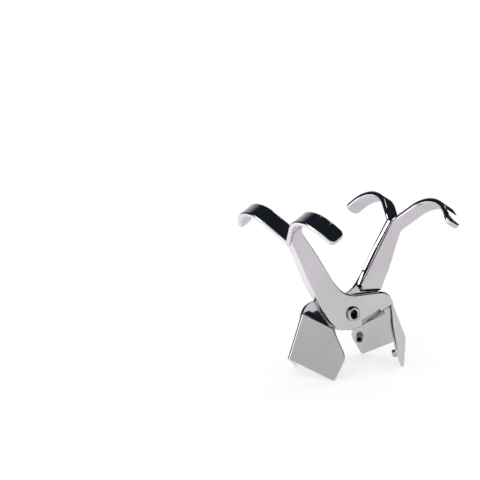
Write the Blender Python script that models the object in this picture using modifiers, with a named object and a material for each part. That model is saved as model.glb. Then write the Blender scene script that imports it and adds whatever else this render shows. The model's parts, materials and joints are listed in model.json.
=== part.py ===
"""Champagne opener: two crossed chrome-plated levers on a tubular pivot rivet.

The opener stands on the four lower corners of its jaws, with its levers crossed
and fully open.  The front lever has its handle at -X and its jaw at +X.  The rear
lever is the same shape turned half round about +Z.  Metres, +Z up, -Y to the
front.  The origin is on the ground, midway between the four corners.
"""
import math

import bmesh
import bpy
from mathutils import Matrix, Vector

MM = 0.001

# Clearances
GAP = 0.3 * MM                    # between pieces that touch or turn on each other
OVERRUN = 4.0 * MM                # how far a cutter runs past what it cuts

# Handle arm, seen from the front, measured from the pivot
HANDLE_SPREAD = 34.6 * MM         # sideways, middle to the root of the finger hooks
HANDLE_RISE = 47.9 * MM           # upwards, pivot to the root of the finger hooks
ARM_THICKNESS = 6.0 * MM          # front to back
ARM_EDGE_RADIUS = 1.0 * MM        # rounding of the arm's long edges
ARM_TOP_WIDTH = 6.8 * MM          # flat face at the root of the hooks
HUB_RADIUS = 9.0 * MM             # flat face round the pivot
PIVOT_OFFSET = 1.6 * MM           # rivet, to the right of the middle of the two jaws

# Finger hooks
HOOK_TILT = math.radians(31.0)    # lean of the hooks' plane from upright
HOOK_SPLIT = math.radians(48.0)   # how far each hook turns away from the arm
HOOK_WIDTH = 9.8 * MM
HOOK_THICKNESS = 3.0 * MM
HOOK_EDGE_RADIUS = 1.1 * MM
HOOK_STRAIGHT = 15.0 * MM
HOOK_BEND_RADIUS = 21.4 * MM
HOOK_BEND = math.radians(88.0)
HOOK_TIP_STRAIGHT = 6.8 * MM
HOOK_TIP_ROUNDING = 2.2 * MM      # corner radius of the tip, seen flat
HOOK_ROOT_SINK = 2.2 * MM         # how far the strap starts inside the arm
HOOK_ROOT_SHIFT = 1.0 * MM        # hooks, outwards from the middle of the arm's end

# Jaw: two flat plates that meet at an outer fold
FOLD_REACH = 31.4 * MM            # sideways, middle to the top of the fold
FOLD_RISE = 4.8 * MM              # upwards, pivot to the top of the fold
FOLD_LENGTH = 26.6 * MM
FOLD_TILT = math.radians(22.5)    # the fold leans out towards the ground
JAW_HALF_ANGLE = math.radians(44.0)
JAW_WIDTH = 29.0 * MM             # fold to free corner, along the plate
JAW_SHEET = 1.5 * MM
JAW_FOLD_RADIUS = 2.0 * MM        # outside of the fold
JAW_FLANGE = 0.9 * MM             # the arm's end stands this far proud of the plates
JAW_CORNER_RADIUS = 1.6 * MM      # free corner at the bottom
JAW_SIDE_RADIUS = 6.6 * MM        # widest corner of the free edge
JAW_EDGE_RADIUS = 0.5 * MM
RIM_SEGMENTS = 3
CORNER_STEPS = 4

# Pivot rivet
RIVET_SHANK_DIAMETER = 6.0 * MM
RIVET_BORE_DIAMETER = 4.5 * MM
RIVET_HEAD_DIAMETER = 8.6 * MM
RIVET_HEAD_HEIGHT = 1.3 * MM
# rolled head, outline from its underside round to the bore
RIVET_ROLL_SHARES = ((0.905, 0.0), (1.0, 0.30), (0.921, 0.775), (0.659, 0.96),
                     (0.5, 1.0), (0.159, 0.875), (0.0, 0.5))

# Grip studs: short hollow pins on the inside of the jaw plates
STUD_DIAMETER = 4.4 * MM
STUD_BORE_DIAMETER = 2.6 * MM
STUD_HEIGHT = 3.2 * MM
STUD_SOCKET_DEPTH = 0.6 * MM
STUD_FLOOR = 0.5 * MM

# Outline of the lever as shares of the sizes above, sideways and upwards.
# Sideways is negative towards the handle.
ARM_OUTER_SHARES = ((-0.944, 0.743), (-0.806, 0.507), (-0.636, 0.267))
ARM_INNER_SHARES = ((-0.636, 0.747), (-0.458, 0.547), (-0.289, 0.367))
KNEE_SHARES = ((-1.73, 0.10), (-1.07, -0.57), (-0.12, -0.93), (0.66, -0.89))
CROTCH_SHARES = ((-0.47, 1.34), (0.19, 1.09))
# Jaw arm, as shares of the fold's reach sideways and of the hub radius upwards
JAW_ARM_TOP_SHARES = ((0.345, 1.02), (0.638, 0.98), (0.815, 0.86), (0.915, 0.48))
JAW_ARM_LOWER_SHARES = ((0.940, 0.06), (0.84, 0.03), (0.68, -0.12), (0.44, -0.42))

# Line above which the arm has its full thickness, as shares of the hub radius
SHOULDER_SHARES = ((-0.45, 1.95), (-0.82, 1.64), (-1.06, 1.23), (-2.12, 1.13), (-3.20, 0.90))
SHOULDER_SLOPE = 0.65             # rise of the shoulder's ramp per unit of depth

# Jaw plates, as shares of the plate's width and of the fold's length
TALL_PLATE_SHARES = ((0.0, 1.0), (0.68, 0.878), (1.07, 0.39), (0.99, -0.152))
LOW_PLATE_SHARES = ((0.0, 1.0), (0.64, 0.70), (0.99, 0.30), (1.0, -0.152))
TRIM_SHARES = ((-0.5, -0.4), (1.2, -0.4), (1.2, 1.6), (-0.5, 1.6))
TALL_STUD_SHARES = (0.90, 0.29)
LOW_STUD_SHARES = (0.82, 0.13)

# Web that ties the tall jaw plate to the arm
WEB_ARM_SHARES = ((0.26, -0.80), (0.68, -0.14))
WEB_INNER_SHARES = ((0.88, 0.50), (0.22, 0.62))
WEB_OUTER_SHARES = ((0.64, 0.87), (0.22, 0.94))
WEB_SAG_SHARE = 0.08              # hollow of the web, as a share of its length
# Hollow in the front of the arm above the web: its upper edge and its foot
HOLLOW_TOP_SHARES = ((0.24, -0.44), (0.64, 0.05))
HOLLOW_FOOT_SHARES = ((0.26, -0.90), (0.70, -0.20))
HOLLOW_PAST_SHARE = 0.25             # how far the wedge runs on past the arm's face

# Roof: a sheet that slopes from the arm's lapped face to the tall plate's top edge
ROOF_SHEET = 1.2 * MM
ROOF_SINK = 0.5 * MM              # how far it starts inside the arm
ROOF_ARM_SHARES = ((0.93, 0.60), (0.69, 0.78))
ROOF_PLATE_SHARES = ((0.05, 0.975), (0.66, 0.868))

CHROME = (0.62, 0.62, 0.64, 1.0)
RIVET_STEEL = (0.62, 0.62, 0.63, 1.0)
STUD_STEEL = (0.55, 0.54, 0.54, 1.0)


def clear_scene():
    for obj in list(bpy.data.objects):
        bpy.data.objects.remove(obj, do_unlink=True)


def collection(name):
    made = bpy.data.collections.new(name)
    bpy.context.scene.collection.children.link(made)
    return made


def material(name, colour, roughness):
    made = bpy.data.materials.new(name)
    made.use_nodes = True
    shader = made.node_tree.nodes["Principled BSDF"]
    shader.inputs["Base Color"].default_value = colour
    shader.inputs["Metallic"].default_value = 1.0
    shader.inputs["Roughness"].default_value = roughness
    return made


def mesh_object(name, mesh, home):
    obj = bpy.data.objects.new(name, mesh)
    home.objects.link(obj)
    return obj


def curve_solid(name, points, corners, half_thickness, edge_radius, home):
    """A flat outline in X-Z, rounded along its edges, centred on Y = 0."""
    data = bpy.data.curves.new(name, "CURVE")
    data.dimensions = "2D"
    data.fill_mode = "BOTH"
    data.resolution_u = 5
    data.extrude = half_thickness - edge_radius
    data.bevel_depth = edge_radius
    data.bevel_resolution = 2
    spline = data.splines.new("BEZIER")
    spline.bezier_points.add(len(points) - 1)
    spline.use_cyclic_u = True
    for index, (point, place) in enumerate(zip(spline.bezier_points, points)):
        point.co = (place[0], place[1], 0.0)
        kind = "VECTOR" if index in corners else "AUTO"
        point.handle_left_type = kind
        point.handle_right_type = kind
    curve = bpy.data.objects.new(name, data)
    curve.matrix_world = Matrix.Rotation(math.pi / 2, 4, "X")
    home.objects.link(curve)
    bpy.context.view_layer.update()
    depsgraph = bpy.context.evaluated_depsgraph_get()
    mesh = bpy.data.meshes.new_from_object(curve.evaluated_get(depsgraph))
    mesh.transform(curve.matrix_world)
    bpy.data.objects.remove(curve, do_unlink=True)
    bm = bmesh.new()
    bm.from_mesh(mesh)
    bmesh.ops.remove_doubles(bm, verts=bm.verts, dist=GAP / 30)
    bmesh.ops.recalc_face_normals(bm, faces=bm.faces)
    bm.to_mesh(mesh)
    bm.free()
    return mesh_object(name, mesh, home)


def cylinder(name, radius, start, axis, length, sides, home):
    """A closed cylinder from start along axis."""
    bm = bmesh.new()
    bmesh.ops.create_cone(bm, cap_ends=True, segments=sides,
                          radius1=radius, radius2=radius, depth=length)
    turn = axis.to_track_quat("Z", "Y").to_matrix().to_4x4()
    middle = Vector(start) + axis.normalized() * (length / 2)
    bm.transform(Matrix.Translation(middle) @ turn)
    mesh = bpy.data.meshes.new(name)
    bm.to_mesh(mesh)
    bm.free()
    return mesh_object(name, mesh, home)


def hide_cutter(obj):
    obj.hide_render = True
    obj.display_type = "WIRE"


def combine(target, others, operation, crossing=True):
    """Join or cut with exact Booleans, and keep the result as plain mesh.

    crossing says that the target's own faces may run through each other.
    """
    for other in others:
        step = target.modifiers.new("combine", "BOOLEAN")
        step.operation = operation
        step.object = other
        step.solver = "EXACT"
        step.use_self = crossing
        bpy.context.view_layer.update()
        depsgraph = bpy.context.evaluated_depsgraph_get()
        mesh = bpy.data.meshes.new_from_object(target.evaluated_get(depsgraph))
        target.modifiers.remove(step)
        old = target.data
        target.data = mesh
        bpy.data.meshes.remove(old)


def smooth(obj, material_used):
    obj.data.materials.clear()
    obj.data.materials.append(material_used)
    obj.data.shade_smooth()
    obj.data.set_sharp_from_angle(angle=math.radians(32.0))


def tidy_mesh(obj):
    """Merge what the Booleans left closer than a hundredth of a millimetre."""
    bm = bmesh.new()
    bm.from_mesh(obj.data)
    bmesh.ops.remove_doubles(bm, verts=bm.verts, dist=GAP / 30)
    bmesh.ops.dissolve_degenerate(bm, dist=GAP / 30, edges=bm.edges)
    bmesh.ops.recalc_face_normals(bm, faces=bm.faces)
    bm.to_mesh(obj.data)
    bm.free()


def scaled(shares, across, upward):
    return [(share[0] * across, share[1] * upward) for share in shares]


def hook_root():
    return Vector((-HANDLE_SPREAD, 0.0, HANDLE_RISE))


def arm_axes():
    """Directions along the arm and across its face at the root of the hooks."""
    along = Vector((-math.sin(HOOK_TILT), 0.0, math.cos(HOOK_TILT)))
    across = Vector((math.cos(HOOK_TILT), 0.0, math.sin(HOOK_TILT)))
    return along, across


def lever_body(home):
    """Handle arm, hub and jaw arm as one rounded plate of full thickness."""
    root = hook_root()
    across = arm_axes()[1]
    left = root - across * (ARM_TOP_WIDTH / 2)
    right = root + across * (ARM_TOP_WIDTH / 2)
    points = [(left.x, left.z)]
    points += scaled(ARM_OUTER_SHARES, HANDLE_SPREAD, HANDLE_RISE)
    points += scaled(KNEE_SHARES, HUB_RADIUS, HUB_RADIUS)
    points += scaled(reversed(JAW_ARM_LOWER_SHARES), FOLD_REACH, HUB_RADIUS)
    points += scaled(reversed(JAW_ARM_TOP_SHARES), FOLD_REACH, HUB_RADIUS)
    points += scaled(reversed(CROTCH_SHARES), HUB_RADIUS, HUB_RADIUS)
    points += scaled(reversed(ARM_INNER_SHARES), HANDLE_SPREAD, HANDLE_RISE)
    points += [(right.x, right.z)]
    corners = (0, len(points) - 1)
    return curve_solid("lever_body", points, corners, ARM_THICKNESS / 2,
                       ARM_EDGE_RADIUS, home)


def lap_cutter(home):
    """Takes the rear half away from the hub and jaw arm, up to the shoulder."""
    line = scaled(SHOULDER_SHARES, HUB_RADIUS, HUB_RADIUS)
    floor = -(HUB_RADIUS + OVERRUN)
    side = FOLD_REACH + OVERRUN
    depth = ARM_THICKNESS / 2 + OVERRUN
    rise = (depth + GAP / 2) * SHOULDER_SLOPE
    top = max(place[1] for place in line) - OVERRUN / 2
    outline = [(line[-1][0], floor), (side, floor), (side, top), (0.0, top)] + line
    bm = bmesh.new()
    near = [bm.verts.new((x, -GAP / 2, z)) for x, z in outline]
    far = []
    for index, (x, z) in enumerate(outline):
        lift = rise if index >= 4 else 0.0
        far.append(bm.verts.new((x, depth, z + lift)))
    bm.faces.new(near)
    bm.faces.new(list(reversed(far)))
    count = len(outline)
    for index in range(count):
        following = (index + 1) % count
        bm.faces.new((near[index], far[index], far[following], near[following]))
    bmesh.ops.triangulate(bm, faces=bm.faces)
    bmesh.ops.recalc_face_normals(bm, faces=bm.faces)
    mesh = bpy.data.meshes.new("lap_cutter")
    bm.to_mesh(mesh)
    bm.free()
    obj = mesh_object("lap_cutter", mesh, home)
    hide_cutter(obj)
    return obj


def hook_path(distance):
    """Place along the arm, sideways offset and heading, at a strap distance."""
    heading = HOOK_SPLIT
    start = Vector((0.0, HOOK_THICKNESS / 2))
    run = min(distance, HOOK_STRAIGHT)
    place = start + run * Vector((math.cos(heading), math.sin(heading)))
    left = distance - HOOK_STRAIGHT
    if left > 0:
        turned = min(left / HOOK_BEND_RADIUS, HOOK_BEND)
        centre = place + HOOK_BEND_RADIUS * Vector((-math.sin(heading), math.cos(heading)))
        heading = HOOK_SPLIT + turned
        place = centre + HOOK_BEND_RADIUS * Vector((math.sin(heading), -math.cos(heading)))
        left -= HOOK_BEND * HOOK_BEND_RADIUS
    if left > 0:
        place = place + left * Vector((math.cos(heading), math.sin(heading)))
    return place, heading


def finger_hook(name, side, home):
    """A flat strap with a rounded tip, bent along the hook's path."""
    length = HOOK_STRAIGHT + HOOK_BEND * HOOK_BEND_RADIUS + HOOK_TIP_STRAIGHT
    half = HOOK_WIDTH / 2 - HOOK_EDGE_RADIUS
    corner = HOOK_TIP_ROUNDING
    end = length - HOOK_EDGE_RADIUS
    flat = [(-HOOK_ROOT_SINK, -half), (end - corner, -half)]
    steps = 4
    for step in range(1, steps + 1):
        angle = math.pi / 2 * step / steps
        flat.append((end - corner + corner * math.sin(angle),
                     -half + corner - corner * math.cos(angle)))
    flat += [(x, -z) for x, z in reversed(flat)]
    strap = curve_solid(name, flat, range(len(flat)), HOOK_THICKNESS / 2,
                        HOOK_EDGE_RADIUS, home)
    bm = bmesh.new()
    bm.from_mesh(strap.data)
    slices = 22
    for index in range(1, slices):
        place = HOOK_STRAIGHT + (length - HOOK_STRAIGHT - corner) * index / slices
        everything = bm.verts[:] + bm.edges[:] + bm.faces[:]
        bmesh.ops.bisect_plane(bm, geom=everything, dist=GAP / 300,
                               plane_co=(place, 0.0, 0.0), plane_no=(1.0, 0.0, 0.0))
    along, across = arm_axes()
    outward = Vector((0.0, side, 0.0))
    root = hook_root() - across * HOOK_ROOT_SHIFT
    for vert in bm.verts:
        distance, depth, offset = vert.co
        if distance < 0:
            place = Vector((0.0, HOOK_THICKNESS / 2))
            heading = HOOK_SPLIT
            place = place + distance * Vector((math.cos(heading), math.sin(heading)))
        else:
            place, heading = hook_path(distance)
        place = place + depth * Vector((math.sin(heading), -math.cos(heading)))
        vert.co = root + along * place.x + outward * place.y + across * offset
    bmesh.ops.recalc_face_normals(bm, faces=bm.faces)
    bm.to_mesh(strap.data)
    bm.free()
    return strap


def fold_frame():
    """Foot of the fold, the way up it, and the inward way square to it."""
    up = Vector((-math.sin(FOLD_TILT), 0.0, math.cos(FOLD_TILT)))
    inward = Vector((-math.cos(FOLD_TILT), 0.0, -math.sin(FOLD_TILT)))
    top = Vector((FOLD_REACH, 0.0, FOLD_RISE))
    return top - up * FOLD_LENGTH, up, inward


def plate_frame(side):
    """Foot, way across the plate, way up it and inward normal; side is -1 or +1."""
    foot, up, inward = fold_frame()
    outward = Vector((0.0, side, 0.0))
    across = inward * math.cos(JAW_HALF_ANGLE) + outward * math.sin(JAW_HALF_ANGLE)
    normal = inward * math.sin(JAW_HALF_ANGLE) - outward * math.cos(JAW_HALF_ANGLE)
    return foot, across, up, normal


def plate_point(side, shares, depth=0.0):
    foot, across, up, normal = plate_frame(side)
    return foot + across * shares[0] * JAW_WIDTH + up * shares[1] * FOLD_LENGTH + normal * depth


def rounded_corner(before, corner, after, radius, steps):
    """Points of an arc that rounds one corner of a flat outline."""
    to_before = (before - corner).normalized()
    to_after = (after - corner).normalized()
    half = to_before.angle(to_after) / 2
    reach = radius / math.tan(half)
    limit = min((before - corner).length, (after - corner).length) / 2
    reach = min(reach, limit)
    true_radius = reach * math.tan(half)
    centre = corner + (to_before + to_after).normalized() * (true_radius / math.sin(half))
    first = corner + to_before * reach - centre
    last = corner + to_after * reach - centre
    turn = first.angle(last)
    points = []
    for step in range(steps + 1):
        share = step / steps
        spot = (first * math.sin((1 - share) * turn) + last * math.sin(share * turn)) / math.sin(turn)
        points.append(centre + spot)
    return points


def jaw_shell(home):
    """Both plates as one folded sheet, then thickened and rounded at its rims."""
    foot = fold_frame()[0]
    top = plate_point(1, TALL_PLATE_SHARES[0])
    bm = bmesh.new()
    foot_vert = bm.verts.new(foot)
    top_vert = bm.verts.new(top)
    for side, shares in ((-1, LOW_PLATE_SHARES), (1, TALL_PLATE_SHARES)):
        rim = [plate_point(side, share) for share in shares]
        ring = [foot_vert, top_vert]
        arcs = [[rim[1]],
                rounded_corner(rim[1], rim[2], rim[3], JAW_SIDE_RADIUS, CORNER_STEPS),
                rounded_corner(rim[2], rim[3], foot, JAW_CORNER_RADIUS, CORNER_STEPS)]
        for arc in arcs:
            ring += [bm.verts.new(spot) for spot in arc]
        face = bm.faces.new(ring)
        if side > 0:
            face.normal_flip()
    bm.normal_update()
    fold = [edge for edge in bm.edges if foot_vert in edge.verts and top_vert in edge.verts]
    bmesh.ops.bevel(bm, geom=fold, offset=JAW_FOLD_RADIUS / math.tan(JAW_HALF_ANGLE),
                    segments=4, profile=0.5, affect="EDGES", clamp_overlap=True)
    mesh = bpy.data.meshes.new("jaw_shell")
    bm.to_mesh(mesh)
    bm.free()
    obj = mesh_object("jaw_shell", mesh, home)
    thicken(obj, JAW_SHEET, plate_frame(-1)[3])
    return obj


def thicken(obj, amount, inward):
    """Thicken a sheet towards the side that inward points to, and round its rims."""
    shell = obj.modifiers.new("sheet", "SOLIDIFY")
    shell.thickness = amount
    shell.use_even_offset = True
    facing = obj.data.polygons[0].normal.dot(inward)
    shell.offset = 1.0 if facing > 0 else -1.0
    edge = obj.modifiers.new("rims", "BEVEL")
    edge.width = JAW_EDGE_RADIUS
    edge.segments = RIM_SEGMENTS
    edge.limit_method = "ANGLE"
    edge.angle_limit = math.radians(35.0)
    bpy.context.view_layer.update()
    depsgraph = bpy.context.evaluated_depsgraph_get()
    mesh = bpy.data.meshes.new_from_object(obj.evaluated_get(depsgraph))
    obj.modifiers.clear()
    old = obj.data
    obj.data = mesh
    bpy.data.meshes.remove(old)


def web(home):
    """A solid web with a hollow front, from the jaw arm to the tall plate."""
    front_depth = ARM_EDGE_RADIUS - ARM_THICKNESS / 2
    back_depth = -ARM_EDGE_RADIUS
    half_sheet = JAW_SHEET / 2
    front = [arm_point(share, front_depth) for share in WEB_ARM_SHARES]
    back = [arm_point(share, back_depth) for share in WEB_ARM_SHARES]
    inner = [plate_point(1, share, half_sheet) for share in WEB_INNER_SHARES]
    outer = [plate_point(1, share, half_sheet / 2) for share in WEB_OUTER_SHARES]
    columns = 4
    rows = 6
    bm = bmesh.new()
    sheets = []
    for top, bottom, sag in ((front, inner, WEB_SAG_SHARE), (back, outer, 0.0)):
        hollow = (top[1] - top[0]).cross(bottom[0] - top[0]).normalized()
        length = (bottom[1] - top[1]).length
        grid = []
        for row in range(rows + 1):
            down = row / rows
            line = []
            for column in range(columns + 1):
                right = column / columns
                spot = top[0].lerp(top[1], right).lerp(bottom[0].lerp(bottom[1], right), down)
                spot = spot + hollow * sag * length * 4 * down * (1 - down)
                line.append(bm.verts.new(spot))
            grid.append(line)
        sheets.append(grid)
    for grid in sheets:
        for row in range(rows):
            for column in range(columns):
                bm.faces.new((grid[row][column], grid[row][column + 1],
                              grid[row + 1][column + 1], grid[row + 1][column]))
    near, far = sheets
    for row in (0, rows):
        for column in range(columns):
            bm.faces.new((near[row][column], near[row][column + 1],
                          far[row][column + 1], far[row][column]))
    for column in (0, columns):
        for row in range(rows):
            bm.faces.new((near[row][column], near[row + 1][column],
                          far[row + 1][column], far[row][column]))
    bmesh.ops.triangulate(bm, faces=bm.faces)
    bmesh.ops.recalc_face_normals(bm, faces=bm.faces)
    mesh = bpy.data.meshes.new("web")
    bm.to_mesh(mesh)
    bm.free()
    return mesh_object("web", mesh, home)


def web_hollow(home):
    """A wedge that hollows the arm's front face down to the web."""
    face = -ARM_THICKNESS / 2
    foot = [arm_point(share, -ARM_EDGE_RADIUS) for share in HOLLOW_FOOT_SHARES]
    top = []
    for share, low in zip(HOLLOW_TOP_SHARES, foot):
        edge = arm_point(share, face)
        top.append(edge + (edge - low) * HOLLOW_PAST_SHARE)
    front = [arm_point(share, face - OVERRUN) for share in HOLLOW_FOOT_SHARES]
    bm = bmesh.new()
    ends = [[bm.verts.new(line[index]) for line in (top, foot, front)] for index in (0, 1)]
    bm.faces.new(ends[0])
    bm.faces.new(list(reversed(ends[1])))
    for index in range(3):
        after = (index + 1) % 3
        bm.faces.new((ends[0][index], ends[1][index], ends[1][after], ends[0][after]))
    bmesh.ops.triangulate(bm, faces=bm.faces)
    bmesh.ops.recalc_face_normals(bm, faces=bm.faces)
    mesh = bpy.data.meshes.new("web_hollow")
    bm.to_mesh(mesh)
    bm.free()
    obj = mesh_object("web_hollow", mesh, home)
    hide_cutter(obj)
    return obj


def roof(home):
    """A closed sheet over the jaw, between the arm and the tall plate's top edge."""
    inside = -GAP / 2 - ROOF_SINK
    arm = [arm_point(share, inside) for share in ROOF_ARM_SHARES]
    plate = [plate_point(1, share, JAW_SHEET / 2) for share in ROOF_PLATE_SHARES]
    outline = arm + list(reversed(plate))
    above = (outline[3] - outline[1]).cross(outline[2] - outline[0]).normalized()
    if above.z < 0:
        above = -above
    bm = bmesh.new()
    top = [bm.verts.new(spot) for spot in outline]
    bottom = [bm.verts.new(spot - above * ROOF_SHEET) for spot in outline]
    bm.faces.new(top)
    bm.faces.new(list(reversed(bottom)))
    count = len(outline)
    for index in range(count):
        following = (index + 1) % count
        bm.faces.new((bottom[index], top[index], top[following], bottom[following]))
    bmesh.ops.triangulate(bm, faces=bm.faces)
    bmesh.ops.recalc_face_normals(bm, faces=bm.faces)
    mesh = bpy.data.meshes.new("roof")
    bm.to_mesh(mesh)
    bm.free()
    return mesh_object("roof", mesh, home)


def arm_point(shares, depth):
    return Vector((shares[0] * FOLD_REACH, depth, shares[1] * HUB_RADIUS))


def slab(name, side, flat, low, high, home):
    """A prism on one plate's plane: flat is in shares, low and high are depths."""
    bm = bmesh.new()
    bottom = [bm.verts.new(plate_point(side, share, low)) for share in flat]
    top = [bm.verts.new(plate_point(side, share, high)) for share in flat]
    bm.faces.new(bottom)
    bm.faces.new(list(reversed(top)))
    count = len(flat)
    for index in range(count):
        following = (index + 1) % count
        bm.faces.new((bottom[index], top[index], top[following], bottom[following]))
    bmesh.ops.triangulate(bm, faces=bm.faces)
    bmesh.ops.recalc_face_normals(bm, faces=bm.faces)
    mesh = bpy.data.meshes.new(name)
    bm.to_mesh(mesh)
    bm.free()
    obj = mesh_object(name, mesh, home)
    hide_cutter(obj)
    return obj


def stud_axis(side):
    """Foot of a stud on the inner face, and the way it points."""
    shares = LOW_STUD_SHARES if side < 0 else TALL_STUD_SHARES
    return plate_point(side, shares, JAW_SHEET), plate_frame(side)[3]


def lever_mesh(name, home):
    """One whole lever, without the hole for the rivet."""
    body = lever_body(home)
    body.name = name
    trims = [slab("jaw_trim", side, TRIM_SHARES, -OVERRUN, -JAW_FLANGE, home) for side in (-1, 1)]
    combine(body, trims + [lap_cutter(home)], "DIFFERENCE")
    shell = jaw_shell(home)
    parts = [finger_hook("near_hook", -1, home), finger_hook("far_hook", 1, home)]
    parts += [shell, web(home), roof(home)]
    combine(body, parts, "UNION")
    combine(body, [web_hollow(home)], "DIFFERENCE", crossing=False)
    sockets = []
    for side in (-1, 1):
        foot, way = stud_axis(side)
        sockets.append(cylinder("stud_socket", STUD_DIAMETER / 2 + GAP,
                                foot - way * STUD_SOCKET_DEPTH, way,
                                STUD_SOCKET_DEPTH + OVERRUN / 4, 28, home))
    for cutter in sockets:
        hide_cutter(cutter)
    combine(body, sockets, "DIFFERENCE")
    for obj in parts:
        bpy.data.objects.remove(obj, do_unlink=True)
    return body


def pivot_hole(home):
    hole = cylinder("pivot_hole", RIVET_SHANK_DIAMETER / 2 + GAP,
                    (0.0, -ARM_THICKNESS, 0.0), Vector((0.0, 1.0, 0.0)),
                    ARM_THICKNESS * 2, 40, home)
    hide_cutter(hole)
    return hole


def turned(name, profile, start, axis, sides, home):
    """A ring turned about axis; the profile is (radius, height) pairs, closed."""
    bm = bmesh.new()
    rings = []
    turn = axis.to_track_quat("Z", "Y").to_matrix()
    for radius, height in profile:
        ring = []
        for index in range(sides):
            angle = 2 * math.pi * index / sides
            spot = Vector((radius * math.cos(angle), radius * math.sin(angle), height))
            ring.append(bm.verts.new(Vector(start) + turn @ spot))
        rings.append(ring)
    for place, ring in enumerate(rings):
        following = rings[(place + 1) % len(rings)]
        for index in range(sides):
            after = (index + 1) % sides
            bm.faces.new((ring[index], ring[after], following[after], following[index]))
    bmesh.ops.recalc_face_normals(bm, faces=bm.faces)
    mesh = bpy.data.meshes.new(name)
    bm.to_mesh(mesh)
    bm.free()
    return mesh_object(name, mesh, home)


def pivot_rivet(home):
    """A tubular rivet with a rolled head at both ends."""
    bore = RIVET_BORE_DIAMETER / 2
    shank = RIVET_SHANK_DIAMETER / 2
    head = RIVET_HEAD_DIAMETER / 2
    seat = ARM_THICKNESS / 2 + GAP
    half = [(shank, seat)]
    half += [(bore + (head - bore) * across, seat + RIVET_HEAD_HEIGHT * upward)
             for across, upward in RIVET_ROLL_SHARES]
    profile = [(radius, -height) for radius, height in reversed(half)] + half
    return turned("pivot_rivet", profile, (0.0, 0.0, 0.0), Vector((0.0, 1.0, 0.0)), 40, home)


def grip_stud(name, side, home):
    """A short hollow pin whose foot sits in the plate's socket."""
    foot, way = stud_axis(side)
    low = -STUD_SOCKET_DEPTH + GAP
    outer = STUD_DIAMETER / 2
    bore = STUD_BORE_DIAMETER / 2
    chamfer = (outer - bore) / 4
    floor = low + STUD_FLOOR
    sides = 28
    bm = bmesh.new()
    turn = way.to_track_quat("Z", "Y").to_matrix()
    profile = [(outer, low), (outer, STUD_HEIGHT - chamfer), (outer - chamfer, STUD_HEIGHT),
               (bore + chamfer, STUD_HEIGHT), (bore, STUD_HEIGHT - chamfer), (bore, floor)]
    rings = []
    for radius, height in profile:
        ring = []
        for index in range(sides):
            angle = 2 * math.pi * index / sides
            spot = Vector((radius * math.cos(angle), radius * math.sin(angle), height))
            ring.append(bm.verts.new(foot + turn @ spot))
        rings.append(ring)
    for ring, following in zip(rings, rings[1:]):
        for index in range(sides):
            after = (index + 1) % sides
            bm.faces.new((ring[index], ring[after], following[after], following[index]))
    bm.faces.new(rings[0])
    bm.faces.new(rings[-1])
    bmesh.ops.recalc_face_normals(bm, faces=bm.faces)
    mesh = bpy.data.meshes.new(name)
    bm.to_mesh(mesh)
    bm.free()
    return mesh_object(name, mesh, home)


def pivot_height(lever):
    """The jaw's lowest corners stand on the ground."""
    return -min(vert.co.z for vert in lever.data.vertices)


def build():
    clear_scene()
    home = collection("champagne_opener")
    cutters = collection("cutters")
    chrome = material("chrome", CHROME, 0.08)
    rivet_steel = material("rivet_steel", RIVET_STEEL, 0.14)
    stud_steel = material("stud_steel", STUD_STEEL, 0.18)
    pivot = bpy.data.objects.new("pivot_axis", None)
    home.objects.link(pivot)
    front = lever_mesh("front_lever", cutters)
    pivot.location = (PIVOT_OFFSET, 0.0, pivot_height(front))
    rear = mesh_object("rear_lever", front.data.copy(), home)
    cutters.objects.unlink(front)
    home.objects.link(front)
    rear.data.transform(Matrix.Rotation(math.pi, 4, "Z"))
    hole = pivot_hole(cutters)
    for lever in (front, rear):
        lever.data.transform(Matrix.Translation((-PIVOT_OFFSET, 0.0, 0.0)))
        combine(lever, [hole], "DIFFERENCE", crossing=False)
        tidy_mesh(lever)
        smooth(lever, chrome)
        lever.parent = pivot
    rivet = pivot_rivet(home)
    smooth(rivet, rivet_steel)
    rivet.parent = pivot
    for lever in (front, rear):
        for side, word in ((-1, "low"), (1, "tall")):
            stud = grip_stud(lever.name + "_" + word + "_plate_stud", side, home)
            if lever is rear:
                stud.data.transform(Matrix.Rotation(math.pi, 4, "Z"))
            stud.data.transform(Matrix.Translation((-PIVOT_OFFSET, 0.0, 0.0)))
            smooth(stud, stud_steel)
            stud.parent = lever


build()
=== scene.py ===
import json
import math

import bmesh
import bpy
from mathutils import Matrix, Quaternion, Vector

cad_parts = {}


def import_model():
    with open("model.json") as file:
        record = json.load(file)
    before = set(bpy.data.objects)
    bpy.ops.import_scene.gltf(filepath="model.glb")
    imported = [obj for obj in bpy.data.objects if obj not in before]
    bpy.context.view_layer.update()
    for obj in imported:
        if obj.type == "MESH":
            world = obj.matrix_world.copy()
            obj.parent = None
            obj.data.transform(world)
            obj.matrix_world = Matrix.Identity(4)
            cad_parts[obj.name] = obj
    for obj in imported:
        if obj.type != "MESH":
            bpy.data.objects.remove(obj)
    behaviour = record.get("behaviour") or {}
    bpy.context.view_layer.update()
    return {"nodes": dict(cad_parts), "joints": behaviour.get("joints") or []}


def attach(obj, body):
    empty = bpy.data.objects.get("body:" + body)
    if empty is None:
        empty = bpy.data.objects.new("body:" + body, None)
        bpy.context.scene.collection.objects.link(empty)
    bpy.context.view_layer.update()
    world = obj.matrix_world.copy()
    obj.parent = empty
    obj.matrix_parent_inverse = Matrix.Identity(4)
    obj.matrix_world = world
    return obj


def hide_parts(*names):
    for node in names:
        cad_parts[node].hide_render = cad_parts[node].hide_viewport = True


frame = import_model()

MM = 0.001
PIVOT_PLACE = frame["joints"][0]["pos_m"]
PIVOT_HEIGHT = PIVOT_PLACE[2]

# joining and smoothing of the copied meshes
WELD = 0.002 * MM                       # corners closer than this are one corner
FLAT_TURN = math.radians(0.6)           # faces that turn less than this are one face
SHARP_TURN = math.radians(52.0)         # edges that turn more than this stay sharp
AREA_WEIGHT = 60                        # how far large faces settle the shading beside them

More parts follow.
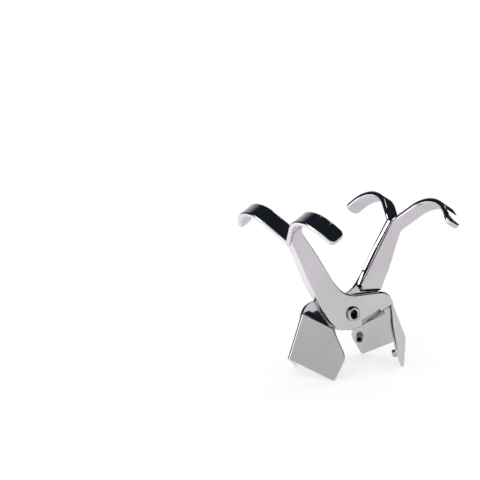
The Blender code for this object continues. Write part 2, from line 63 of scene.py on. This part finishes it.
# faces of a lever, told apart by their place and direction
PLATE_TOP = PIVOT_HEIGHT + 3.0 * MM     # the jaw plates end below this height
ARM_FOOT = PIVOT_HEIGHT + 14.0 * MM     # above this height all narrow sides are the arm's or a hook's
BROAD_FACE = 0.995                      # how straight the arm's broad faces look to front or back
WEB_REACH = 27.0 * MM                   # how far from the middle the hollow under the arm reaches
WEB_SLACK = 0.05 * MM                   # how far its faces may lean towards the middle
WEB_TILTS = (-0.95, -0.70)              # how far the faces of that hollow look down

# the bores, whose walls and floors take painted shade
RIVET_BORE = 2.25 * MM                  # radius
STUD_BORE = 1.3 * MM                    # radius
BORE_FLOOR = 0.97                       # share of the radius within which all faces are inside
BORE_WALL = 1.05                        # share of the radius within which the wall lies
BORE_FACING = 0.5                       # the least cosine by which the wall looks inwards
SAME_WAY = 0.999                        # the least cosine between normals that look the same way

# tones of the metals
# the chrome's own grey with a painted reflection: its lavender tint stands for the lavender surroundings it
# mirrors
CHROME_AND_REFLECTION_DEEP = (0.600, 0.570, 0.605)
CHROME_AND_REFLECTION_PALE = (0.680, 0.650, 0.685)
PLATE_DEEP = (0.590, 0.590, 0.592)
PLATE_PALE = (0.650, 0.650, 0.652)
# painted shade: the hollow under the arm gets near-black, streaky tones for the shade it lies in and the dark
# it mirrors
WEB_SHADE_DEEP = (0.018, 0.018, 0.018)
WEB_SHADE_PALE = (0.420, 0.410, 0.410)
STEEL_DEEP = (0.330, 0.325, 0.325)
STEEL_PALE = (0.520, 0.515, 0.510)
# painted shade: the bores are near black for the dark inside a deep hole
BORE_SHADE_DEEP = (0.010, 0.010, 0.011)
BORE_SHADE_PALE = (0.040, 0.039, 0.038)
EDGE_TINT = (0.86, 0.86, 0.90)          # how much gloss a metal keeps at a glancing angle
# painted reflection: between these heights the arm's painted lavender tint fades out into the plates' neutral
# tones
HUB_HEIGHTS = (PIVOT_HEIGHT + 2.0 * MM, PIVOT_HEIGHT + 26.0 * MM)  # plate tones below, chrome above

# noises: waves per metre, detail, roughness
TONE_NOISE = (28.0, 2.0, 0.5)
SMUDGE_NOISE = (85.0, 4.0, 0.55)
STREAK_NOISE = (620.0, 2.0, 0.5)
HAIR_NOISE = (700.0, 1.0, 0.4)
GRAIN_NOISE = (1900.0, 3.0, 0.6)
LINE_NOISE = (2600.0, 2.0, 0.6)
PAPER_NOISE = (14.0, 3.0, 0.5)
TONE_SPAN = (0.30, 0.72)                # the stretch of a noise's values that counts
SMUDGE_SPAN = (0.36, 0.70)
HAIR_SPAN = (0.70, 0.78)

# polishing lines and hairline scratches
LINE_STRETCH = 40.0                     # how many times longer than wide the lines are
HAIR_STRETCH = 70.0                     # and the scratches
HAIR_TURN = (0.5, 0.9, 0.3)             # how the scratches lie across the lines, in radians
LINE_ROUGHNESS = 0.5                    # what the lines change of the smudges' roughness
HAIR_ROUGHNESS = 0.10                   # what a scratch adds to the roughness
HAIR_BRIGHTNESS = 0.08                  # how far a scratch brightens the tone
HAIR_DEPTH = 0.6                        # of the lines' depth

# the camera, as found from the photograph
CAMERA_PLACE = Vector((-0.35126, -0.49543, 0.16628))
CAMERA_TURN = math.radians(29.74)
CAMERA_DIP = math.radians(8.53)
CAMERA_ROLL = math.radians(-2.31)
CAMERA_LENS = 81.68
CAMERA_SENSOR = 36.0
CAMERA_NEAR = 0.005

# lights and colours of the studio
STUDIO_MIDDLE = Vector((0.0, 0.0, 0.05))
WHITE = (1.0, 1.0, 1.0, 1.0)
PAPER_LIGHT = (0.97, 0.965, 1.0)
ROOM_LIGHT = (0.014, 0.018, 0.024)
GREY_WALL = (0.56, 0.555, 0.56)
BRIGHT_WALL = (0.95, 0.94, 0.95)
WINDOW_LIGHT = (2.2, 2.2, 2.25)
STRIP_LIGHT = (5.0, 5.0, 5.1)
SOFT_WINDOW = (1.1, 1.1, 1.15)
DARK_CARD = (0.012, 0.014, 0.018)
WORLD_STRENGTH = 0.75                   # on the object; the camera sees plain white

# the floor
FLOOR_REACH = 40.0                      # half its width
FLOOR_DEEP = (0.93, 0.93, 0.93)
FLOOR_PALE = (0.95, 0.95, 0.95)
FLOOR_GLOW = 0.72                       # its share of white light, the rest takes the shadow
FLOOR_FADES = (0.20, 0.80)              # between these distances it turns plain white
FLOOR_BRIGHT_SIDE = -110.0              # azimuth where the metal mirrors it brightest
FLOOR_SIDES = (-0.45, 0.9)              # from the darkest side to the brightest
FLOOR_MIRRORED = (0.80, 1.55)           # its light there in the metal
FLOOR_MIDDLE = 60.0 * MM                # nearer than this the sides run together

# the surround
SURROUND_RADIUS = 2.4
SURROUND_SEGMENTS = 48
SURROUND_RINGS = 24
ROOM_EDGE = (math.sin(math.radians(1.5)), math.sin(math.radians(8)))  # pale paper ends, dim room begins

# studio cards
CARD_DISTANCE = 1.3
WALL_DISTANCE = 1.6
DARK_DISTANCE = 1.2
CARD_ROUNDING = 0.4                     # of its shorter half
CARD_STEPS = 5                          # points along a rounded corner
STRIP_PLACE = (-0.0023, 0.0525, 0.0990)
STRIP_TARGET = (0.0175, 0.0, 0.0620)    # the side of the rear arm
STRIP_SIZE = (0.0036, 0.0390)
STRIP_ROLL = -30.2


class Nodes:
    """A short way to build the node tree of a material or a world."""

    def __init__(self, name, world=False):
        self.owner = bpy.data.worlds.new(name) if world else bpy.data.materials.new(name)
        self.owner.use_nodes = True
        self.tree = self.owner.node_tree
        self.tree.nodes.clear()

    def add(self, kind, settings=None, **inputs):
        """A node with its settings; an underscore in an input's name stands for a space."""
        node = self.tree.nodes.new(kind)
        for key, value in (settings or {}).items():
            setattr(node, key, value)
        for key, value in inputs.items():
            self.put(node, key.replace("_", " "), value)
        return node

    def put(self, node, socket, value):
        """Links or sets an input, given by its name or number."""
        if isinstance(value, bpy.types.NodeSocket):
            self.tree.links.new(value, node.inputs[socket])
        else:
            node.inputs[socket].default_value = value

    def maths(self, operation, first, second=0.0, clamp=False):
        """One operation on one or two numbers or sockets."""
        node = self.add("ShaderNodeMath", {"operation": operation, "use_clamp": clamp})
        self.put(node, 0, first)
        self.put(node, 1, second)
        return node.outputs[0]

    def span(self, value, low, high, new_low, new_high):
        """A smooth step from one stretch of numbers to another."""
        node = self.add("ShaderNodeMapRange", {"interpolation_type": "SMOOTHSTEP"})
        for number, setting in enumerate((value, low, high, new_low, new_high)):
            self.put(node, number, setting)
        return node.outputs[0]

    def blend(self, share, first, second):
        """A mix of two colours."""
        node = self.add("ShaderNodeMix", {"data_type": "RGBA"})
        self.put(node, 0, share)
        for number, colour in ((6, first), (7, second)):
            linked = isinstance(colour, bpy.types.NodeSocket)
            self.put(node, number, colour if linked else (*colour, 1.0))
        return node.outputs[2]

    def place(self):
        return self.add("ShaderNodeTexCoord").outputs["Object"]

    def split(self, vector):
        node = self.add("ShaderNodeSeparateXYZ")
        self.put(node, 0, vector)
        return node.outputs

    def noise(self, place, kind):
        waves, detail, roughness = kind
        node = self.add("ShaderNodeTexNoise", Vector=place, Scale=waves, Detail=detail, Roughness=roughness)
        return node.outputs[0]

    def drawn_out(self, place, turn, stretch):
        """Coordinates in which a noise turns into lines."""
        scale = (1.0, 1.0, stretch)
        settings = {"vector_type": "TEXTURE"}
        return self.add("ShaderNodeMapping", settings, Vector=place, Rotation=turn, Scale=scale).outputs[0]

    def glow(self, colour, strength=1.0):
        return self.add("ShaderNodeEmission", Color=colour, Strength=strength).outputs[0]

    def surface(self, shader):
        """Ends the tree with this shader and gives its material."""
        self.add("ShaderNodeOutputMaterial", Surface=shader)
        return self.owner


def metal(name, deep, pale, gloss, smudge, lines_along, lines_depth, grain_depth, streaks=0.0, foot=None):
    """Polished metal: smudges, polishing lines, hairline scratches and a trace of casting grain.

    deep and pale are its two tones. gloss is its least roughness and smudge what
    smudges add to it. lines_along turns the polishing lines, in radians; the two depths
    are their bump and the grain's. streaks is how far broad drawn lines, not clouds,
    settle the tone. foot gives two heights and the two tones of the foot below them,
    which turn into deep and pale between them.
    """
    nodes = Nodes(name)
    place = nodes.place()
    smudges = nodes.noise(place, SMUDGE_NOISE)
    tone = nodes.noise(place, TONE_NOISE)
    grain = nodes.noise(place, GRAIN_NOISE)
    drawn = nodes.drawn_out(place, lines_along, LINE_STRETCH)
    lines = nodes.noise(drawn, LINE_NOISE)
    hair_turn = (lines_along[0] + HAIR_TURN[0], lines_along[1] + HAIR_TURN[1], HAIR_TURN[2])
    hair = nodes.noise(nodes.drawn_out(place, hair_turn, HAIR_STRETCH), HAIR_NOISE)
    hair = nodes.span(hair, *HAIR_SPAN, 0.0, 1.0)

    rough = nodes.span(smudges, *SMUDGE_SPAN, gloss, gloss + smudge)
    lines_rough = nodes.maths("MULTIPLY", nodes.maths("SUBTRACT", lines, 0.5), smudge * LINE_ROUGHNESS)
    rough = nodes.maths("ADD", rough, lines_rough)
    rough = nodes.maths("ADD", rough, nodes.maths("MULTIPLY", hair, HAIR_ROUGHNESS), clamp=True)

    if streaks:
        broad = nodes.maths("MULTIPLY", nodes.noise(drawn, STREAK_NOISE), streaks)
        tone = nodes.maths("ADD", nodes.maths("MULTIPLY", tone, 1.0 - streaks), broad)
    tone = nodes.span(tone, *TONE_SPAN, 0.0, 1.0)
    colour = nodes.blend(tone, deep, pale)
    if foot:
        low, high, foot_deep, foot_pale = foot
        above = nodes.span(nodes.split(place)[2], low, high, 0.0, 1.0)
        colour = nodes.blend(above, nodes.blend(tone, foot_deep, foot_pale), colour)
    bright = tuple(0.5 * (channel + 1.0) for channel in pale)
    colour = nodes.blend(nodes.maths("MULTIPLY", hair, HAIR_BRIGHTNESS), colour, bright)

    height = nodes.maths("MULTIPLY", lines, lines_depth)
    height = nodes.maths("ADD", height, nodes.maths("MULTIPLY", grain, grain_depth))
    height = nodes.maths("SUBTRACT", height, nodes.maths("MULTIPLY", hair, lines_depth * HAIR_DEPTH))
    bump = nodes.add("ShaderNodeBump", Height=height, Strength=1.0, Distance=MM)

    shader = nodes.add("ShaderNodeBsdfPrincipled", Base_Color=colour, Roughness=rough, Normal=bump.outputs[0])
    nodes.put(shader, "Metallic", 1.0)
    nodes.put(shader, "Specular Tint", (*EDGE_TINT, 1.0))
    nodes.owner.diffuse_color = (*pale, 1.0)
    return nodes.surface(shader.outputs[0])


def placed(name, data):
    """A new object in the scene."""
    obj = bpy.data.objects.new(name, data)
    bpy.context.scene.collection.objects.link(obj)
    return obj


def mesh_from(name, bm):
    """The bmesh as a new mesh."""
    mesh = bpy.data.meshes.new(name)
    bm.to_mesh(mesh)
    bm.free()
    return mesh


def dressed(node, name, body, metals, choose):
    """A copy of a CAD node with joined corners, whole flat faces and even shading round its edges.

    choose gives the number of a face's metal.
    """
    mesh = frame["nodes"][node].data.copy()
    mesh.name = name
    if "custom_normal" in mesh.attributes:
        mesh.attributes.remove(mesh.attributes["custom_normal"])
    bm = bmesh.new()
    bm.from_mesh(mesh)
    bmesh.ops.remove_doubles(bm, verts=bm.verts, dist=WELD)
    bmesh.ops.dissolve_degenerate(bm, edges=bm.edges, dist=WELD)
    bmesh.ops.dissolve_limit(bm, angle_limit=FLAT_TURN, verts=bm.verts, edges=bm.edges)
    for edge in bm.edges:
        edge.smooth = edge.calc_face_angle(math.pi) < SHARP_TURN
    for face in bm.faces:
        face.smooth = True
    finishes = [choose(face) for face in bm.faces]
    bm.to_mesh(mesh)
    bm.free()
    mesh.materials.clear()
    for material in metals:
        mesh.materials.append(material)
    mesh.polygons.foreach_set("material_index", finishes)
    piece = placed(name, mesh)
    weighted = piece.modifiers.new("even_shading", "WEIGHTED_NORMAL")
    weighted.mode = "FACE_AREA"
    weighted.weight = AREA_WEIGHT
    weighted.keep_sharp = True
    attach(piece, body)
    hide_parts(node)


def stud_axis(node):
    """A stud's axis, which is the way most of its flat area looks, and its middle."""
    middle = sum((corner.co for corner in node.data.vertices), Vector()) / len(node.data.vertices)
    totals = []
    for face in node.data.polygons:
        for total in totals:
            if face.normal.dot(total[0]) > SAME_WAY:
                total[1] += face.area
                break
        else:
            totals.append([face.normal.copy(), face.area])
    return max(totals, key=lambda total: total[1])[0], middle


def lever_finish_and_shade(face):
    """0 the arm's broad faces, 1 its narrow sides and the hooks, 2 the jaw plates, 3 the arm's hollow, which
    takes painted shade.
    """
    middle = face.calc_center_median()
    normal = face.normal
    looks_down = middle.z < PIVOT_HEIGHT and WEB_TILTS[0] < normal.z < WEB_TILTS[1]
    looks_out = middle.x * normal.x > -WEB_SLACK and middle.x * normal.y < 0
    # the hollow under the arm takes the painted shade
    if looks_down and looks_out and abs(middle.x) < WEB_REACH:
        return 3
    broad = abs(normal.y) > BROAD_FACE
    if middle.z > ARM_FOOT and not broad:
        return 1
    if middle.z < PLATE_TOP and not broad:
        return 2
    return 0


def bore_shade_faces(point, axis, radius):
    """0 outside, 1 the wall and floor of the bore round an axis through a point, which take painted shade."""
    def choose(face):
        middle = face.calc_center_median() - point
        out = middle - axis * middle.dot(axis)
        near = out.length < radius * BORE_WALL
        wall = near and face.normal.dot(out) < -BORE_FACING * out.length
        return 1 if wall or out.length < radius * BORE_FLOOR else 0
    return choose


def direction(azimuth, elevation):
    """Azimuth 0 is towards the front of the object, 90 towards its right."""
    turn = math.radians(azimuth)
    rise = math.radians(elevation)
    level = math.cos(rise)
    return Vector((math.sin(turn) * level, -math.cos(turn) * level, math.sin(rise)))


def floor_paper():
    """White paper that keeps the object's shadow, turns plain white further off, and
    mirrors brighter towards one side."""
    nodes = Nodes("floor_paper")
    place = nodes.place()
    grain = nodes.noise(place, PAPER_NOISE)
    paper = nodes.add("ShaderNodeBsdfDiffuse", Color=nodes.blend(grain, FLOOR_DEEP, FLOOR_PALE))
    path = nodes.add("ShaderNodeLightPath").outputs
    x, y = nodes.split(place)[:2]
    away = nodes.maths("ADD", nodes.maths("MULTIPLY", x, x), nodes.maths("MULTIPLY", y, y))
    away = nodes.maths("SQRT", away)
    bright = direction(FLOOR_BRIGHT_SIDE, 0.0)
    side = nodes.maths("ADD", nodes.maths("MULTIPLY", x, bright.x), nodes.maths("MULTIPLY", y, bright.y))
    side = nodes.maths("DIVIDE", side, nodes.maths("ADD", away, FLOOR_MIDDLE))
    mirrored = nodes.maths("SUBTRACT", nodes.span(side, *FLOOR_SIDES, *FLOOR_MIRRORED), 1.0)
    strength = nodes.maths("ADD", 1.0, nodes.maths("MULTIPLY", path["Is Glossy Ray"], mirrored))
    seen = nodes.maths("MAXIMUM", path["Is Camera Ray"], path["Is Glossy Ray"])
    seen = nodes.maths("MAXIMUM", seen, path["Is Transmission Ray"])
    far = nodes.span(away, *FLOOR_FADES, 0.0, 1.0 - FLOOR_GLOW)
    far = nodes.maths("MULTIPLY", path["Is Camera Ray"], far)
    mix = nodes.add("ShaderNodeMixShader")
    nodes.put(mix, 0, nodes.maths("ADD", nodes.maths("MULTIPLY", seen, FLOOR_GLOW), far))
    nodes.put(mix, 1, paper.outputs[0])
    nodes.put(mix, 2, nodes.glow(WHITE, strength))
    return nodes.surface(mix.outputs[0])


def floor():
    """A plain pale floor."""
    mesh = bpy.data.meshes.new("floor")
    corners = [(FLOOR_REACH * x, FLOOR_REACH * y, 0.0) for x, y in ((-1, -1), (1, -1), (1, 1), (-1, 1))]
    mesh.from_pydata(corners, [], [(0, 1, 2, 3)])
    mesh.materials.append(floor_paper())
    obj = placed("floor", mesh)


def mirrored_only(name, mesh):
    """An object that is there only for polished metal to mirror."""
    obj = placed(name, mesh)
    obj.visible_camera = False
    obj.visible_diffuse = False
    obj.visible_shadow = False
    obj.visible_transmission = False
    obj.visible_volume_scatter = False
    return obj


def surround():
    """The studio round the object: pale paper low down and a dim room above it."""
    bm = bmesh.new()
    bmesh.ops.create_uvsphere(
        bm, u_segments=SURROUND_SEGMENTS, v_segments=SURROUND_RINGS, radius=SURROUND_RADIUS)
    mesh = mesh_from("surround", bm)
    nodes = Nodes("surround_light")
    way = nodes.add("ShaderNodeVectorMath", {"operation": "NORMALIZE"})
    nodes.put(way, 0, nodes.place())
    dim = nodes.span(nodes.split(way.outputs[0])[2], *ROOM_EDGE, 0.0, 1.0)
    mesh.materials.append(nodes.surface(nodes.glow(nodes.blend(dim, PAPER_LIGHT, ROOM_LIGHT))))
    mirrored_only("surround", mesh)


def card_mesh(name, half_width, half_height):
    """A flat card with rounded corners."""
    edge = CARD_ROUNDING * min(half_width, half_height)
    bm = bmesh.new()
    outline = []
    for side_x, side_y, start in ((1, 1, 0), (-1, 1, 90), (-1, -1, 180), (1, -1, 270)):
        for step in range(CARD_STEPS):
            turn = math.radians(start + 90 * step / (CARD_STEPS - 1))
            x = side_x * (half_width - edge) + edge * math.cos(turn)
            y = side_y * (half_height - edge) + edge * math.sin(turn)
            outline.append(bm.verts.new((x, y, 0.0)))
    bm.faces.new(outline)
    return mesh_from(name, bm)


def card(name, middle, towards, size, low, high, roll=0.0):
    """A studio card or window that only the metal mirrors.

    It is turned to the point that towards gives. low and high are its light at its lower
    and its upper edge, and roll turns it in its own plane, in degrees.
    """
    half_height = size[1] / 2
    mesh = card_mesh(name, size[0] / 2, half_height)
    nodes = Nodes(name + "_light")
    share = nodes.span(nodes.split(nodes.place())[1], -half_height, half_height, 0.0, 1.0)
    mesh.materials.append(nodes.surface(nodes.glow(nodes.blend(share, low, high))))
    obj = mirrored_only(name, mesh)
    facing = (Vector(towards) - Vector(middle)).to_track_quat("Z", "Y")
    obj.location = middle
    obj.rotation_euler = (facing @ Quaternion((0, 0, 1), math.radians(roll))).to_euler()


def far_card(name, azimuth, elevation, width, height, low, high, distance=CARD_DISTANCE):
    """A card whose place and size are angles seen from the object, in degrees."""
    size = [2 * distance * math.tan(math.radians(angle / 2)) for angle in (width, height)]
    card(name, STUDIO_MIDDLE + direction(azimuth, elevation) * distance, STUDIO_MIDDLE, size, low, high)


def soft_lamp(name, place, width, watts):
    """A square lamp turned to the object, which the metal doesn't mirror."""
    lamp = bpy.data.lights.new(name, "AREA")
    lamp.shape = "SQUARE"
    lamp.size = width
    lamp.energy = watts
    obj = placed(name, lamp)
    obj.visible_glossy = False
    obj.location = place
    obj.rotation_euler = (STUDIO_MIDDLE - Vector(place)).to_track_quat("-Z", "Y").to_euler()


def world():
    """A pale room: it lights the object at a plain level and shows white to the camera."""
    nodes = Nodes("pale_room", world=True)
    path = nodes.add("ShaderNodeLightPath").outputs
    seen = nodes.maths("MAXIMUM", path["Is Camera Ray"], path["Is Transmission Ray"])
    strength = nodes.span(seen, 0.0, 1.0, WORLD_STRENGTH, 1.0)
    back = nodes.add("ShaderNodeBackground", Color=WHITE, Strength=strength)
    nodes.add("ShaderNodeOutputWorld", Surface=back.outputs[0])
    bpy.context.scene.world = nodes.owner


def camera():
    """The photograph's camera."""
    level = math.cos(CAMERA_DIP)
    ahead = Vector((math.sin(CAMERA_TURN) * level, math.cos(CAMERA_TURN) * level, -math.sin(CAMERA_DIP)))
    right = Vector((math.cos(CAMERA_TURN), -math.sin(CAMERA_TURN), 0.0))
    above = right.cross(ahead)
    across = right * math.cos(CAMERA_ROLL) + above * math.sin(CAMERA_ROLL)
    upward = above * math.cos(CAMERA_ROLL) - right * math.sin(CAMERA_ROLL)
    data = bpy.data.cameras.new("camera")
    data.lens = CAMERA_LENS
    data.sensor_width = CAMERA_SENSOR
    data.sensor_fit = "HORIZONTAL"
    data.clip_start = CAMERA_NEAR
    obj = placed("camera", data)
    turned = Matrix((across, upward, -ahead)).transposed().to_4x4()
    obj.matrix_world = Matrix.Translation(CAMERA_PLACE) @ turned
    bpy.context.scene.camera = obj


# the metals
# the foot fades the painted lavender reflection out towards the hub
arm_chrome = metal(
    "arm_chrome", CHROME_AND_REFLECTION_DEEP, CHROME_AND_REFLECTION_PALE, gloss=0.09, smudge=0.07, lines_along=(0.0, 0.55, 0.0),
    lines_depth=0.0010, grain_depth=0.0016, foot=(*HUB_HEIGHTS, PLATE_DEEP, PLATE_PALE))
hook_chrome = metal(
    "hook_chrome", CHROME_AND_REFLECTION_DEEP, CHROME_AND_REFLECTION_PALE, gloss=0.03, smudge=0.035, lines_along=(0.0, 1.1, 0.0),
    lines_depth=0.0006, grain_depth=0.0008)
plate_chrome = metal(
    "plate_chrome", PLATE_DEEP, PLATE_PALE, gloss=0.17, smudge=0.08, lines_along=(0.0, 1.35, 0.0),
    lines_depth=0.0007, grain_depth=0.0016)
# painted shade and dark reflection for the hollow under the arm, on chrome
web_painted_shade = metal(
    "web_painted_shade", WEB_SHADE_DEEP, WEB_SHADE_PALE, gloss=0.20, smudge=0.15, lines_along=(0.0, 1.2, 0.6),
    lines_depth=0.0040, grain_depth=0.0030, streaks=0.9)
# its pale tone carries the chrome's painted lavender reflection
rivet_steel = metal(
    "rivet_steel", STEEL_PALE, CHROME_AND_REFLECTION_DEEP, gloss=0.09, smudge=0.10, lines_along=(math.pi / 2, 0.0, 0.0),
    lines_depth=0.0016, grain_depth=0.0010)
stud_steel = metal(
    "stud_steel", STEEL_DEEP, STEEL_PALE, gloss=0.07, smudge=0.10, lines_along=(0.7, 0.9, 0.0),
    lines_depth=0.0020, grain_depth=0.0010)
# painted shade for the insides of the bores
bore_painted_shade = metal(
    "bore_painted_shade", BORE_SHADE_DEEP, BORE_SHADE_PALE, gloss=0.42, smudge=0.20, lines_along=(0.4, 0.2, 0.0),
    lines_depth=0.0030, grain_depth=0.0040)

# the pieces
lever_metals = (arm_chrome, hook_chrome, plate_chrome, web_painted_shade)
for lever in ("front", "rear"):
    dressed(f"{lever}_lever", f"{lever}_lever_polished", lever, lever_metals, lever_finish_and_shade)
rivet_bore_shade = bore_shade_faces(Vector(PIVOT_PLACE), Vector((0, 1, 0)), RIVET_BORE)
dressed("pivot_rivet", "pivot_rivet_polished", "front", (rivet_steel, bore_painted_shade), rivet_bore_shade)
for lever in ("front", "rear"):
    for side in ("low", "tall"):
        stud = f"{lever}_lever_{side}_plate_stud"
        axis, middle = stud_axis(frame["nodes"][stud])
        dressed(stud, stud + "_turned", lever, (stud_steel, bore_painted_shade), bore_shade_faces(middle, axis, STUD_BORE))

# the studio; a far card's numbers are its azimuth, elevation, width and height
floor()
surround()
far_card("grey_wall", -52, 20, 62, 44, GREY_WALL, BRIGHT_WALL, WALL_DISTANCE)
far_card("window_far_left", -104, 14, 26, 42, WINDOW_LIGHT, WINDOW_LIGHT)
far_card("window_right", 103, 18, 7, 6, WINDOW_LIGHT, WINDOW_LIGHT)
far_card("window_right_high", 108, 56, 10, 11, WINDOW_LIGHT, WINDOW_LIGHT)
far_card("grey_backdrop", 166, 27, 26, 56, BRIGHT_WALL, DARK_CARD)
card("strip_behind", STRIP_PLACE, STRIP_TARGET, STRIP_SIZE, STRIP_LIGHT, STRIP_LIGHT, STRIP_ROLL)
far_card("dark_behind", -154, 6, 42, 18, DARK_CARD, DARK_CARD, DARK_DISTANCE)
far_card("window_left_high", -120, 43, 20, 8, WINDOW_LIGHT, WINDOW_LIGHT)
far_card("glint_above_left", -163, 75, 1.2, 5, SOFT_WINDOW, SOFT_WINDOW)
far_card("glint_above_front", -18, 75, 1.2, 4, SOFT_WINDOW, SOFT_WINDOW)
soft_lamp("lamp_left", place=(-0.9, -0.5, 1.1), width=0.7, watts=7.0)
soft_lamp("lamp_right", place=(0.8, 0.4, 1.0), width=0.5, watts=4.0)
world()
camera()
bpy.context.scene.view_settings.view_transform = "Standard"
